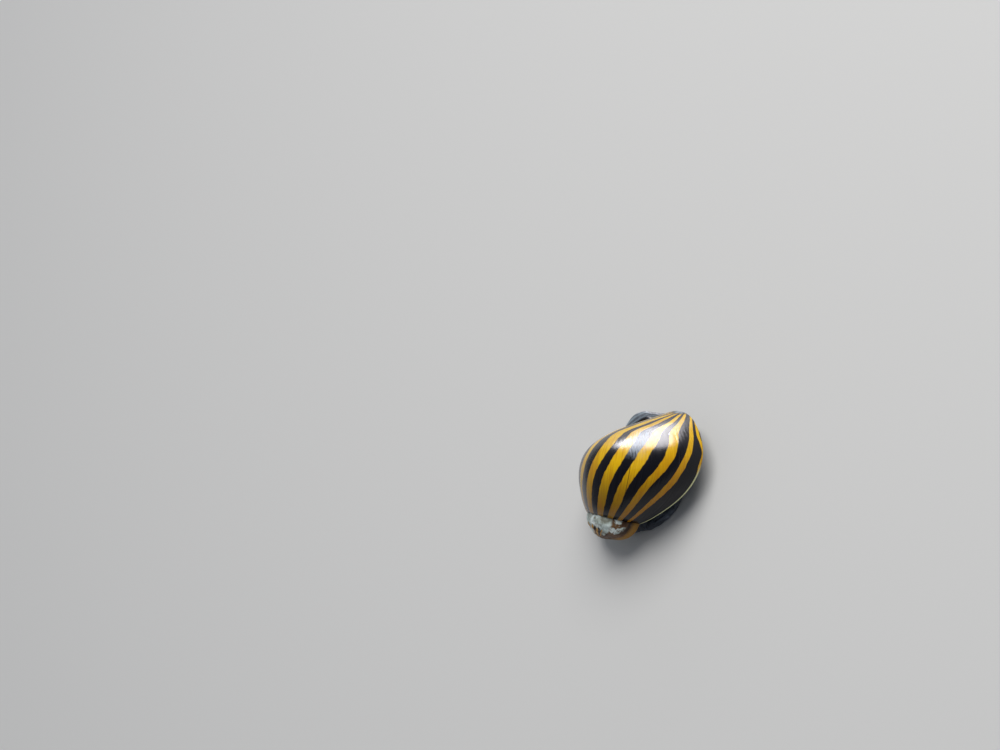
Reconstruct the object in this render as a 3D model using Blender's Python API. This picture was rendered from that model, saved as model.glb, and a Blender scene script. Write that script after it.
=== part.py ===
"""A zebra nerite snail, life size, as a still museum model.

The striped shell is one log-spiral sweep of an oval section, cut flat by the plane of its lip.
It rests on the animal's foot, whose sole is the flat that stands on the floor.
Lengths are millimetres here and become metres when a mesh is made.
Head towards -Y, the animal's left towards +X, up +Z, origin at the middle of the sole.
"""
import math

import bmesh
import bpy
from mathutils import Vector

MM = 0.001
GAP = 0.28
SMALL_GAP = 0.16

# Shell: the oval section of the last whorl, in the coil's own plane of (radius, height along the axis)
WHORL_GROWTH = 4.51
SECTION_CENTRE = (4.51, -12.24)
SECTION_HALF = (6.86, 9.45)
SECTION_TURN = 0.775
SECTION_POWER = 2.54
SUTURE_ANGLE = 0.454
BASE_ANGLE = -3.03
AXIS_CORE = 0.22
SPIRE_CORE = 0.04
SPIRE_HEIGHT = 3.60
SPIRE_BLUNTNESS = 2.1
SPIRE_CLEARANCE = 0.34
SPIRE_TUCK = 0.75
SPIRE_DEPTH = 0.9

# How the coil lies over the floor: where its out, up and axis directions point, and the lip's height
COIL_OUT = Vector((-1.147, 0.230, 0.284))
COIL_UP = Vector((-0.165, 0.168, 1.012))
COIL_AXIS = Vector((-0.196, 1.120, 0.201))
LIP_HEIGHT = 3.00
APEX_OVER_LIP = 0.145
APEX_FROM_SOLE = (0.70, 11.42)
COLUMELLA_WAY = Vector((-0.174, 0.985, 0.0))

# The low swelling of the base on the columella's side
BASE_SWELL_CENTRE = (1.7, 1.8)
BASE_SWELL_HALF = (6.5, 6.7, 3.0)
BASE_SWELL_POWER = 2.4

# Walls and the pieces in the mouth of the shell
LIP_WALL = 0.95
RECESS_DEPTH = 2.3
DECK_THICKNESS = 1.5
DECK_REACH = 3.4
MANTLE_THICKNESS = 1.4
FAR = 60

# Foot
FOOT_HALF_WIDTH = 8.3
FOOT_HALF_LENGTH = 8.5
FOOT_POWER = 3.0
FOOT_X = 0.3
FOOT_EDGE_HEIGHT = 1.0
FOOT_TOP_HEIGHT = 1.5
FRILL = 0.10
FRILL_WAVES = 9
CORNER_LOBE = 0.85
CORNER_ANGLE = 0.78
CORNER_SPREAD = 0.30

# Stalk between foot and shell
STALK_HALF = (5.0, 3.7)
STALK_CENTRE = (-1.4, 0.8)
STALK_POWER = 2.6

# Operculum on the tail of the foot
OPERCULUM_LENGTH = 6.0
OPERCULUM_WIDTH = 3.2
OPERCULUM_THICKNESS = 0.55
OPERCULUM_CENTRE = (-0.6, 5.8)
OPERCULUM_BASE = FOOT_TOP_HEIGHT + 0.05
OPERCULUM_POWER = 2.3
OPERCULUM_STALK_SIDE = 0.42
PAD_SHARE = 0.82

# Head, feelers and eyes
HEAD_ROOT_Y = STALK_CENTRE[1] - STALK_HALF[1] - GAP
SNOUT_TIP_Y = -7.7
HEAD_HALF_WIDTH = 2.0
HEAD_BOTTOM = 1.6
HEAD_TOP = 3.1
HEAD_ROOM_HALF = 3.9
HEAD_X = -0.9
HEAD_POWER = 2.5
MOUTH_DEPTH = 0.30
MOUTH_HALF_WIDTH = 1.05
MOUTH_FROM_TIP = 1.25
MOUTH_BOW = 0.35
MOUTH_HALF_OPENING = 0.12
FEELER_ROOT_RADIUS = 0.42
FEELER_TIP_RADIUS = 0.16
EYE_RADIUS = 0.27
EYE_STALK_RADIUS = 0.46
EYE_STALK_LENGTH = 0.5

SECTION_STEPS = 34
TURN_STEP = math.radians(6.5)


def clear_scene():
    for old in list(bpy.data.objects):
        bpy.data.objects.remove(old, do_unlink=True)


def material(name, colour, roughness, metallic=0.0):
    made = bpy.data.materials.new(name)
    made.use_nodes = True
    shader = made.node_tree.nodes["Principled BSDF"]
    shader.inputs["Base Color"].default_value = (*colour, 1.0)
    shader.inputs["Roughness"].default_value = roughness
    shader.inputs["Metallic"].default_value = metallic
    return made


def solid(name, points, faces, finish=None):
    """A closed mesh object from points in millimetres, with its faces turned outward."""
    mesh = bpy.data.meshes.new(name)
    mesh.from_pydata([tuple(c * MM for c in p) for p in points], [], faces)
    work = bmesh.new()
    work.from_mesh(mesh)
    bmesh.ops.recalc_face_normals(work, faces=work.faces)
    work.to_mesh(mesh)
    work.free()
    made = bpy.data.objects.new(name, mesh)
    bpy.context.scene.collection.objects.link(made)
    if finish:
        mesh.materials.append(finish)
    return made


def loft(name, rings, finish=None):
    """Closed solid through rings of equal length, with a flat face over the first and the last ring."""
    count = len(rings[0])
    points = [p for ring in rings for p in ring]
    faces = []
    for row in range(len(rings) - 1):
        for i in range(count):
            j = (i + 1) % count
            a, b = row * count, (row + 1) * count
            faces.append((a + i, a + j, b + j, b + i))
    faces.append(tuple(range(count)))
    faces.append(tuple((len(rings) - 1) * count + i for i in range(count)))
    return solid(name, points, faces, finish)


def block(name, low, high):
    """A plain cutter box between two corners in millimetres."""
    rings = []
    for z in (low[2], high[2]):
        corners = ((low[0], low[1]), (high[0], low[1]), (high[0], high[1]), (low[0], high[1]))
        rings.append([(x, y, z) for x, y in corners])
    return loft(name, rings)


def slab_along(name, middle, way, half_length, reach_low, reach_high, z_low, z_high):
    """A cutter box turned in plan: long along one way, and from reach_low to reach_high across it."""
    across = Vector((-way.y, way.x, 0.0))
    rings = []
    for z in (z_low, z_high):
        ring = []
        for run, reach in ((-1, reach_low), (1, reach_low), (1, reach_high), (-1, reach_high)):
            spot = Vector(middle) + way * (run * half_length) + across * reach
            ring.append((spot.x, spot.y, z))
        rings.append(ring)
    return loft(name, rings)


def combine(target, tool, operation):
    """Apply one exact Boolean to the target and drop the tool."""
    step = target.modifiers.new(operation, "BOOLEAN")
    step.operation = operation
    step.solver = "EXACT"
    step.object = tool
    bpy.context.view_layer.update()
    graph = bpy.context.evaluated_depsgraph_get()
    result = bpy.data.meshes.new_from_object(target.evaluated_get(graph))
    target.modifiers.clear()
    target.data = result
    bpy.data.objects.remove(tool, do_unlink=True)
    return target


def keep_largest(made):
    """Drop every loose scrap but the largest closed surface."""
    work = bmesh.new()
    work.from_mesh(made.data)
    left = set(work.faces)
    groups = []
    while left:
        group = set()
        front = [left.pop()]
        while front:
            face = front.pop()
            group.add(face)
            for edge in face.edges:
                for other in edge.link_faces:
                    if other in left:
                        left.discard(other)
                        front.append(other)
        groups.append(group)
    groups.sort(key=lambda g: sum(f.calc_area() for f in g))
    scraps = [f for g in groups[:-1] for f in g]
    bmesh.ops.delete(work, geom=scraps, context="FACES")
    work.to_mesh(made.data)
    work.free()
    return made


def smooth(made, angle=50.0):
    made.data.shade_smooth()
    made.data.set_sharp_from_angle(angle=math.radians(angle))
    return made


# Shell geometry

def section_point(angle, shrink=0.0):
    """Point of the oval section, optionally drawn in by a wall thickness."""
    c, s = math.cos(angle), math.sin(angle)
    reach = (abs(c) ** SECTION_POWER + abs(s) ** SECTION_POWER) ** (-1.0 / SECTION_POWER)
    x = (SECTION_HALF[0] - shrink) * reach * c
    y = (SECTION_HALF[1] - shrink) * reach * s
    turn_c, turn_s = math.cos(SECTION_TURN), math.sin(SECTION_TURN)
    return (SECTION_CENTRE[0] + x * turn_c - y * turn_s, SECTION_CENTRE[1] + x * turn_s + y * turn_c)


def coil_point(radius, height, turn):
    """Place a section point on the spiral: it grows by WHORL_GROWTH in each turn."""
    size = WHORL_GROWTH ** (turn / (2 * math.pi))
    out, up, axis = size * radius * math.cos(turn), -size * radius * math.sin(turn), size * height
    spot = COIL_OUT * out + COIL_UP * up + COIL_AXIS * axis
    return (spot.x + APEX_FROM_SOLE[0], spot.y + APEX_FROM_SOLE[1], spot.z + APEX_OVER_LIP + LIP_HEIGHT)


def sweep(name, section, start, end, finish=None):
    """Sweep a closed section of (radius, height) points along the spiral from start to end angle."""
    steps = max(2, round(abs(end - start) / TURN_STEP))
    rings = []
    for i in range(steps + 1):
        turn = start + (end - start) * i / steps
        rings.append([coil_point(r, z, turn) for r, z in section])
    return loft(name, rings, finish)


def clip(section, keep):
    """Keep the part of a polygon where keep(point) is positive; keep is linear in the point."""
    kept = []
    for i, here in enumerate(section):
        there = section[(i + 1) % len(section)]
        a, b = keep(here), keep(there)
        if a >= 0:
            kept.append(here)
        if (a >= 0) != (b >= 0):
            t = a / (a - b)
            kept.append((here[0] + t * (there[0] - here[0]), here[1] + t * (there[1] - here[1])))
    return kept


SUTURE = section_point(SUTURE_ANGLE)
SPIRE_FLOOR = SUTURE[1] - SPIRE_DEPTH
BODY_ROOF = SPIRE_FLOOR - SPIRE_CLEARANCE


def spire_section(grow=0.0):
    """Blunt cap from the suture in to the axis, on a shallow cone, optionally a little larger all round."""
    count = 12
    reach = SUTURE[0] + grow
    points = []
    for i in range(count + 1):
        share = i / count
        rise = (1 - share ** SPIRE_BLUNTNESS) ** (1 / SPIRE_BLUNTNESS)
        radius = SPIRE_CORE + (reach - SPIRE_CORE) * share
        points.append((radius, SUTURE[1] + grow + SPIRE_HEIGHT * rise))
    points.append((reach - SPIRE_TUCK, SPIRE_FLOOR + 0.1 - grow))
    points.append((SPIRE_CORE, SPIRE_FLOOR - grow))
    return points


def spire_room_section():
    """The space cut out of the body whorl for the spire, a gap wider all round and open above."""
    points = [(0.05, 8.0), (SUTURE[0] + 8.0, 8.0), (SUTURE[0] + GAP * 0.6, SUTURE[1] + 0.1)]
    points.append((SUTURE[0] - SPIRE_TUCK, BODY_ROOF + 0.1))
    points.append((0.05, BODY_ROOF))
    return points


def body_section():
    """The whorl's oval from just under the suture to the base, closed along the axis."""
    first = SUTURE_ANGLE - 0.055
    points = []
    for i in range(SECTION_STEPS + 1):
        points.append(section_point(first + (BASE_ANGLE - first) * i / SECTION_STEPS))
    points = clip(points, lambda p: p[0] - AXIS_CORE)
    points.append((AXIS_CORE, points[-1][1] + 0.4))
    points.append((AXIS_CORE, BODY_ROOF))
    points.append((SUTURE[0] - SPIRE_TUCK, BODY_ROOF + 0.1))
    return points


def hollow_section(shrink):
    """The space inside the wall, clear of the columella and of the spire."""
    points = [section_point(2 * math.pi * i / 30, shrink) for i in range(30)]
    points = clip(points, lambda p: p[0] - AXIS_CORE - 0.5 - shrink * 0.6)
    return clip(points, lambda p: BODY_ROOF - 0.4 - shrink - p[1])


def above(made, height):
    """Cut away everything lower than a level."""
    return combine(made, block("cut_level", (-FAR, -FAR, -FAR), (FAR, FAR, height)), "DIFFERENCE")


def below(made, height):
    """Cut away everything higher than a level."""
    return combine(made, block("cut_level", (-FAR, -FAR, height), (FAR, FAR, FAR)), "DIFFERENCE")


def aperture_plug(name, shrink, z_low, z_high, finish=None):
    """A plate of the shape of the shell's mouth, drawn in from the wall, between two levels."""
    plug = sweep(name, hollow_section(shrink), math.radians(-118), math.radians(42), finish)
    above(plug, z_low)
    below(plug, z_high)
    return plug


def signed_power(value, power):
    return math.copysign(abs(value) ** power, value)


def base_swell_points():
    """Points of a low dome on the lip's plane, which rounds out the columella's side."""
    points = []
    power = 2 / BASE_SWELL_POWER
    for k in range(6):
        rise = math.radians(15 * k)
        for i in range(24):
            turn = math.radians(15 * i)
            flat = abs(math.cos(rise)) ** power
            x = BASE_SWELL_HALF[0] * flat * signed_power(math.cos(turn), power)
            y = BASE_SWELL_HALF[1] * flat * signed_power(math.sin(turn), power)
            z = BASE_SWELL_HALF[2] * math.sin(rise) ** power
            points.append((BASE_SWELL_CENTRE[0] + x, BASE_SWELL_CENTRE[1] + y, LIP_HEIGHT + z))
    return points


def convex_solid(made, more_points=()):
    """Turn a mesh into the closed convex surface round its own points and some more."""
    work = bmesh.new()
    for vert in made.data.vertices:
        work.verts.new(vert.co)
    for point in more_points:
        work.verts.new([c * MM for c in point])
    bmesh.ops.convex_hull(work, input=list(work.verts), use_existing_faces=False)
    spare = [v for v in work.verts if not v.link_faces]
    bmesh.ops.delete(work, geom=spare, context="VERTS")
    bmesh.ops.dissolve_limit(work, angle_limit=math.radians(0.05), verts=work.verts, edges=work.edges)
    bmesh.ops.recalc_face_normals(work, faces=work.faces)
    work.to_mesh(made.data)
    work.free()
    return made


def shell_body_whorl():
    """The last whorl, rounded at its base, cut by the lip's plane and opened for spire and mouth."""
    finish = material("shell_stripe", (0.80, 0.52, 0.03), 0.18)
    shell = sweep("shell_body_whorl", body_section(), math.radians(-216), math.radians(42), finish)
    above(shell, LIP_HEIGHT)
    convex_solid(shell, base_swell_points())
    spire_room = sweep("spire_room", spire_room_section(), math.radians(-222), math.radians(30))
    combine(shell, spire_room, "DIFFERENCE")
    seat = sweep("spire_seat", spire_section(SMALL_GAP), math.radians(-216), math.radians(20))
    above(seat, LIP_HEIGHT - SMALL_GAP)
    combine(shell, convex_solid(seat), "DIFFERENCE")
    recess = aperture_plug("recess", LIP_WALL, -5.0, LIP_HEIGHT + RECESS_DEPTH)
    combine(shell, recess, "DIFFERENCE")
    return smooth(keep_largest(shell), 40)


def shell_spire():
    finish = material("shell_eroded", (0.62, 0.64, 0.60), 0.45)
    spire = sweep("shell_spire", spire_section(), math.radians(-216), math.radians(20), finish)
    above(spire, LIP_HEIGHT)
    convex_solid(spire)
    return smooth(spire, 40)


def axis_spot():
    return (APEX_FROM_SOLE[0], APEX_FROM_SOLE[1], 0.0)


def head_room():
    """The space that the head, the eyes and the feelers' roots need in the mouth of the shell."""
    low = (HEAD_X - HEAD_ROOM_HALF, -FAR, -FAR)
    high = (HEAD_X + HEAD_ROOM_HALF, HEAD_ROOT_Y, FAR)
    return block("head_room", low, high)


def columellar_deck():
    finish = material("shell_deck", (0.86, 0.82, 0.68), 0.25)
    top = LIP_HEIGHT + DECK_THICKNESS
    deck = aperture_plug("columellar_deck", LIP_WALL + GAP, LIP_HEIGHT, top, finish)
    beyond = slab_along("beyond", axis_spot(), COLUMELLA_WAY, FAR, DECK_REACH, FAR, -FAR, FAR)
    combine(deck, beyond, "DIFFERENCE")
    combine(deck, head_room(), "DIFFERENCE")
    return smooth(keep_largest(deck), 40)


def mantle():
    finish = material("mantle_skin", (0.20, 0.22, 0.25), 0.4)
    top = LIP_HEIGHT + MANTLE_THICKNESS
    plate = aperture_plug("mantle", LIP_WALL + GAP, LIP_HEIGHT, top, finish)
    deck_side = slab_along("deck_side", axis_spot(), COLUMELLA_WAY, FAR, -FAR, DECK_REACH + GAP, -FAR, FAR)
    combine(plate, deck_side, "DIFFERENCE")
    combine(plate, head_room(), "DIFFERENCE")
    return smooth(keep_largest(plate), 40)


# Flesh

def foot_edge(angle):
    """Plan radius of the foot, measured from the front towards the animal's left."""
    c, s = math.cos(angle), math.sin(angle)
    width_part = abs(s / FOOT_HALF_WIDTH) ** FOOT_POWER
    length_part = abs(c / FOOT_HALF_LENGTH) ** FOOT_POWER
    plain = (width_part + length_part) ** (-1 / FOOT_POWER)
    tail = 1.0 - 0.07 * max(0.0, -c) ** 2
    lobe = CORNER_LOBE * math.exp(-((angle - CORNER_ANGLE) / CORNER_SPREAD) ** 2)
    return plain * tail + lobe + FRILL * math.sin(FRILL_WAVES * angle + 0.6)


def foot():
    finish = material("foot_skin", (0.13, 0.15, 0.18), 0.42)
    profile = ((0.91, 0.0), (0.965, 0.10), (1.0, 0.40), (0.99, 0.70), (0.94, 0.93),
               (0.86, FOOT_EDGE_HEIGHT), (0.74, 1.05), (0.6, 1.15), (0.46, 1.32), (0.36, FOOT_TOP_HEIGHT))
    count = 56
    rings = []
    for share, z in profile:
        ring = []
        for i in range(count):
            angle = 2 * math.pi * i / count
            reach = share * foot_edge(angle)
            ring.append((FOOT_X + reach * math.sin(angle), -reach * math.cos(angle), z))
        rings.append(ring)
    made = loft("foot", rings, finish)
    pad_top = OPERCULUM_BASE - GAP
    pad_profile = ((1.25, 0.6), (1.12, pad_top - 0.12), (1.0, pad_top))
    pad = loft("opercular_pad", [operculum_ring(PAD_SHARE * share, z) for share, z in pad_profile])
    return smooth(combine(made, pad, "UNION"), 35)


def body_stalk():
    finish = material("stalk_skin", (0.16, 0.18, 0.21), 0.42)
    low, high = FOOT_TOP_HEIGHT + GAP, LIP_HEIGHT - GAP
    rings = []
    for share, z in ((1.0, low), (0.93, low + 0.2), (0.93, high - 0.2), (1.0, high)):
        ring = []
        for i in range(36):
            angle = 2 * math.pi * i / 36
            c, s = math.cos(angle), math.sin(angle)
            reach = (abs(c) ** STALK_POWER + abs(s) ** STALK_POWER) ** (-1 / STALK_POWER) * share
            x = STALK_CENTRE[0] + STALK_HALF[0] * reach * c
            y = STALK_CENTRE[1] + STALK_HALF[1] * reach * s
            ring.append((x, y, z))
        rings.append(ring)
    return smooth(loft("body_stalk", rings, finish), 35)


def operculum_ring(share, z):
    """The lid's D-shaped outline at a share of its size, straighter on the side of the stalk."""
    ring = []
    for i in range(40):
        angle = 2 * math.pi * i / 40
        c, s = math.cos(angle), math.sin(angle)
        reach = (abs(c) ** OPERCULUM_POWER + abs(s) ** OPERCULUM_POWER) ** (-1 / OPERCULUM_POWER)
        flat = OPERCULUM_STALK_SIDE if s < 0 else 1.0
        x = OPERCULUM_LENGTH / 2 * reach * c * share
        y = OPERCULUM_WIDTH * (reach * s * flat * share) / 1.42
        ring.append((OPERCULUM_CENTRE[0] + x, OPERCULUM_CENTRE[1] + y, z))
    return ring


def operculum():
    finish = material("operculum_horn", (0.36, 0.27, 0.20), 0.35)
    profile = ((0.94, 0.0), (1.0, 0.14), (1.0, OPERCULUM_THICKNESS - 0.14), (0.9, OPERCULUM_THICKNESS))
    rings = [operculum_ring(share, OPERCULUM_BASE + z) for share, z in profile]
    return smooth(loft("operculum", rings, finish), 35)


def head_outline(along):
    """Half width, bottom and top of the head at a share of its length from root to snout tip."""
    width = HEAD_HALF_WIDTH * (0.86 + 0.22 * math.sin(math.pi * min(1.0, along * 1.05)))
    end = math.sqrt(max(0.0, 1 - max(0.0, (along - 0.72) / 0.28) ** 2))
    mid = HEAD_BOTTOM + 0.42 * (HEAD_TOP - HEAD_BOTTOM) - 0.25 * along
    drop = 0.28 * along
    top = mid + (HEAD_TOP - drop - mid) * (0.25 + 0.75 * end)
    bottom = mid + (HEAD_BOTTOM - mid) * (0.25 + 0.75 * end)
    return width * (0.45 + 0.55 * end), bottom, top


def head():
    finish = material("head_skin", (0.12, 0.13, 0.16), 0.4)
    stations = (0.0, 0.1, 0.22, 0.36, 0.5, 0.62, 0.72, 0.8, 0.87, 0.93, 0.97, 1.0)
    count = 32
    rings = []
    for along in stations:
        half, bottom, top = head_outline(along)
        y = HEAD_ROOT_Y + (SNOUT_TIP_Y - HEAD_ROOT_Y) * along
        ring = []
        for i in range(count):
            angle = 2 * math.pi * i / count
            c, s = math.cos(angle), math.sin(angle)
            reach = (abs(c) ** HEAD_POWER + abs(s) ** HEAD_POWER) ** (-1 / HEAD_POWER)
            x = half * reach * c
            z = (top + bottom) / 2 + (top - bottom) / 2 * reach * s
            notch = 0.32 * math.exp(-(x / 0.45) ** 2) * max(0.0, along - 0.8) / 0.2
            ring.append((HEAD_X + x, y + notch, z))
        rings.append(ring)
    made = loft("head", rings, finish)
    mouth_slit(made)
    return smooth(keep_largest(made), 45)


def mouth_slit(made):
    """A crescent slit on the snout's underside, with a swollen lip on both sides of it."""
    slit = []
    for z in (-1.0, HEAD_BOTTOM + MOUTH_DEPTH):
        ring = []
        for side in (1, -1):
            for i in range(9):
                share = -1 + 2 * i / 8
                share *= side
                bow = MOUTH_BOW * (1 - share * share)
                opening = side * MOUTH_HALF_OPENING * (1.02 - share * share)
                y = SNOUT_TIP_Y + MOUTH_FROM_TIP - bow + opening
                ring.append((HEAD_X + MOUTH_HALF_WIDTH * share, y, z))
        slit.append(ring)
    combine(made, loft("slit", slit), "DIFFERENCE")


def tube(name, path, radii, sides, finish):
    """A round feeler along a smooth path, closed with blunt ends."""
    rings = []
    for i, spot in enumerate(path):
        way = (path[min(i + 1, len(path) - 1)] - path[max(i - 1, 0)]).normalized()
        side = way.cross(Vector((0, 0, 1))).normalized()
        rise = side.cross(way)
        ring = []
        for k in range(sides):
            angle = 2 * math.pi * k / sides
            at = spot + side * (radii[i] * math.cos(angle)) + rise * (radii[i] * math.sin(angle))
            ring.append(tuple(at))
        rings.append(ring)
    return smooth(loft(name, rings, finish), 50)


def bezier(ends, share):
    """Point of a cubic curve through four handles."""
    a, b, c, d = (Vector(p) for p in ends)
    rest = 1 - share
    return a * rest ** 3 + b * (3 * rest * rest * share) + c * (3 * rest * share * share) + d * share ** 3


def feeler(name, side, handles, finish):
    steps = 18
    ends = [(HEAD_X + side * x, y, z) for x, y, z in handles]
    path = [bezier(ends, i / steps) for i in range(steps + 1)]
    taper = FEELER_TIP_RADIUS - FEELER_ROOT_RADIUS
    radii = [FEELER_ROOT_RADIUS + taper * (i / steps) ** 0.8 for i in range(steps + 1)]
    return tube(name, path, radii, 10, finish)


def eye_and_stalk(name, side):
    skin = material("eye_stalk_skin_" + name, (0.15, 0.16, 0.19), 0.4)
    dark = material("eye_black_" + name, (0.01, 0.01, 0.012), 0.08)
    root = Vector((HEAD_X + side * (HEAD_HALF_WIDTH + 0.36), -5.2, 2.2))
    way = Vector((side * 0.86, -0.10, 0.30)).normalized()
    path = [root + way * (EYE_STALK_LENGTH * i / 4) for i in range(5)]
    radii = [EYE_STALK_RADIUS * share for share in (1.0, 0.92, 0.85, 0.8, 0.62)]
    tube("eye_stalk_" + name, path, radii, 12, skin)
    middle = root + way * (EYE_STALK_LENGTH + SMALL_GAP + EYE_RADIUS)
    ball("eye_" + name, middle, EYE_RADIUS, dark)


def ball(name, middle, radius, finish):
    work = bmesh.new()
    bmesh.ops.create_icosphere(work, subdivisions=3, radius=radius * MM)
    mesh = bpy.data.meshes.new(name)
    work.to_mesh(mesh)
    work.free()
    made = bpy.data.objects.new(name, mesh)
    made.location = middle * MM
    bpy.context.scene.collection.objects.link(made)
    mesh.materials.append(finish)
    mesh.shade_smooth()
    return made


def feelers():
    skin = material("feeler_skin", (0.10, 0.11, 0.13), 0.4)
    root = (HEAD_HALF_WIDTH + 0.62, -6.3, 1.95)
    left = (root, (3.9, -7.6, 1.9), (5.6, -7.0, 1.75), (6.9, -4.6, 1.62))
    right = (root, (3.7, -7.6, 1.9), (4.9, -6.8, 1.75), (5.9, -4.4, 1.62))
    feeler("feeler_left", 1, left, skin)
    feeler("feeler_right", -1, right, skin)


def build():
    clear_scene()
    shell_body_whorl()
    shell_spire()
    columellar_deck()
    mantle()
    foot()
    body_stalk()
    operculum()
    head()
    feelers()
    eye_and_stalk("left", 1)
    eye_and_stalk("right", -1)


build()
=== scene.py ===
"""Looks of the zebra nerite snail: striped shell, worn spire, one wet skin, horny lid, eyes and camera.

Lengths here are millimetres, as in the part's source, and become metres when a mesh is made.
Head towards -Y, the animal's left towards +X, up +Z, origin at the middle of the sole.
"""
import math

import bmesh
import bpy
import numpy as np
from mathutils import Matrix, Vector, noise
from mathutils.bvhtree import BVHTree


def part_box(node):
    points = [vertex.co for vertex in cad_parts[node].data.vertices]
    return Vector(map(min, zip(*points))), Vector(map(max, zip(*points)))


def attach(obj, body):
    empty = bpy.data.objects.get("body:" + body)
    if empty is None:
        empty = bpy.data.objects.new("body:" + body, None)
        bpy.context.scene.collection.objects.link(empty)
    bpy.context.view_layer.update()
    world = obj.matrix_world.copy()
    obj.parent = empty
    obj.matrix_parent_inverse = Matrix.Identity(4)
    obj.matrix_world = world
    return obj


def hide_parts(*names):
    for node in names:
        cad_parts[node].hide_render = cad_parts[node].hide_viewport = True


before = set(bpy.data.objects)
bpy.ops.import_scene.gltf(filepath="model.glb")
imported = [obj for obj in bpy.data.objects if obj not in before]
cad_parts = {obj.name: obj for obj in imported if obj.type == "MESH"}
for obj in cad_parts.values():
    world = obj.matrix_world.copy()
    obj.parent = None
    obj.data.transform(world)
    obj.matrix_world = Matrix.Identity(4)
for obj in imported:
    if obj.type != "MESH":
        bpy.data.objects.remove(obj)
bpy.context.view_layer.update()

MM = 0.001
TURN = 2 * math.pi

# Shell: the same log-spiral as in the part's source
WHORL_GROWTH = 4.51
SECTION_CENTRE = (4.51, -12.24)
SECTION_HALF = (6.86, 9.45)
SECTION_TURN = 0.775
SECTION_POWER = 2.54
SUTURE_ANGLE = 0.454
BASE_ANGLE = -2.62
SPIRE_HEIGHT = 3.6
SPIRE_BLUNTNESS = 2.1
SPIRE_CORE = 0.04
SPIRE_TUCK = (0.75, 0.8)
COIL_OUT = np.array((-1.147, 0.23, 0.284))
COIL_UP = np.array((-0.165, 0.168, 1.012))
COIL_AXIS = np.array((-0.196, 1.12, 0.201))
LIP_HEIGHT = 3.0
APEX_OVER_LIP = 0.145
APEX_FROM_SOLE = (0.7, 11.42)
BASE_SWELL_CENTRE = (1.7, 1.8)
BASE_SWELL_HALF = (6.5, 6.7, 3.0)
BASE_SWELL_POWER = 2.4
SHELL_HEART = np.array((-1.0, 1.0, LIP_HEIGHT))
SPIRE_HEART = np.array((-0.6, 8.4, LIP_HEIGHT))
SHELL_ROWS = 210
SHELL_COLUMNS = 420
SPIRE_COLUMNS = 220
TURN_RANGE = (math.radians(-300), math.radians(60))
TURN_SAMPLES = 3600
HULL_STEP = 3
SKIRT_DROP = 0.5
FAR_OUT = 60
LEAST_PUSH = 0.004
LIP_EDGE_WALL = 0.16
WALL = 0.85
WALL_THICKENS_OVER = 0.1
BASE_THICKENS_ROWS = 20

# Stripes: edges of each golden band at four places along the section, as growth back from the lip
STRIPE_PLACES = (0.1, -0.5, -1.0, -1.5)
STRIPES = (
    ((-0.1, 0.03, 0.16, 0.26), (-0.06, 0.07, 0.19, 0.295)),
    ((0.285, 0.295, 0.32, 0.33), (0.365, 0.385, 0.395, 0.385)),
    ((0.49, 0.535, 0.49, 0.515), (0.61, 0.65, 0.615, 0.64)),
    ((0.73, 0.8, 0.785, 0.745), (0.9, 0.945, 0.945, 0.89)),
    ((1.03, 1.08, 1.08, 1.065), (1.235, 1.257, 1.253, 1.237)),
    ((1.415, 1.43, 1.39, 1.365), (1.63, 1.6, 1.59, 1.61)),
    ((1.84, 1.78, 1.8, 1.79), (2.05, 1.95, 1.94, 1.99)),
    ((2.25, 2.2, 2.2, 2.2), (2.47, 2.42, 2.4, 2.42)),
    ((2.7, 2.66, 2.66, 2.66), (2.92, 2.88, 2.88, 2.88)),
    ((3.14, 3.1, 3.1, 3.1), (3.36, 3.32, 3.32, 3.32)),
    ((3.6, 3.56, 3.56, 3.56), (3.84, 3.8, 3.8, 3.8)),
)
LEAN = (-0.072, 0.158, 0.0625)
FOCUS = np.array((-3.5, -8.5, 2.3))
SPIRE_POLE = np.array((0.7, 11.4, 3.1))
FAN_FROM, FAN_TO = -1.42, -1.88
FAR_FAN_FROM, FAR_FAN_TO = -0.55, -2.25
FAR_GROWTH = (1.0, 2.4)
CALLUS_RADIUS = 1.15
LINE_LEAN = 0.13
# Growth, width and depth of the stronger rests
GROWTH_RESTS = ((0.12, 0.008, 0.014), (0.721, 0.007, 0.022), (1.21, 0.006, 0.012), (2.1, 0.01, 0.02))

# Foot, stalk, head, feelers and eyes: as in the part's source
FOOT_HALF_WIDTH = 8.3
FOOT_HALF_LENGTH = 8.5
FOOT_POWER = 3.0
FOOT_X = 0.3
# Share of the edge's reach, height, and rise before the lid
FOOT_PROFILE = (
    (0.93, 0.0, 0), (0.965, 0.05, 0), (0.985, 0.14, 0), (0.997, 0.3, 0), (0.999, 0.48, 0),
    (0.985, 0.66, 0), (0.955, 0.82, 0), (0.91, 0.93, 0), (0.86, 0.98, 0.02), (0.78, 1.03, 0.08),
    (0.7, 1.09, 0.16), (0.62, 1.18, 0.26), (0.54, 1.3, 0.4), (0.46, 1.45, 0.6),
)
FRILL = 0.1
FRILL_WAVES = 9
CORNER_LOBE = 0.85
CORNER_ANGLE = 0.78
CORNER_SPREAD = 0.3
LOBE_PLACE = (6.8, -6.6, 0.9)
STALK_HALF = (5.0, 3.7)
STALK_CENTRE = (-1.4, 0.8)
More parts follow.
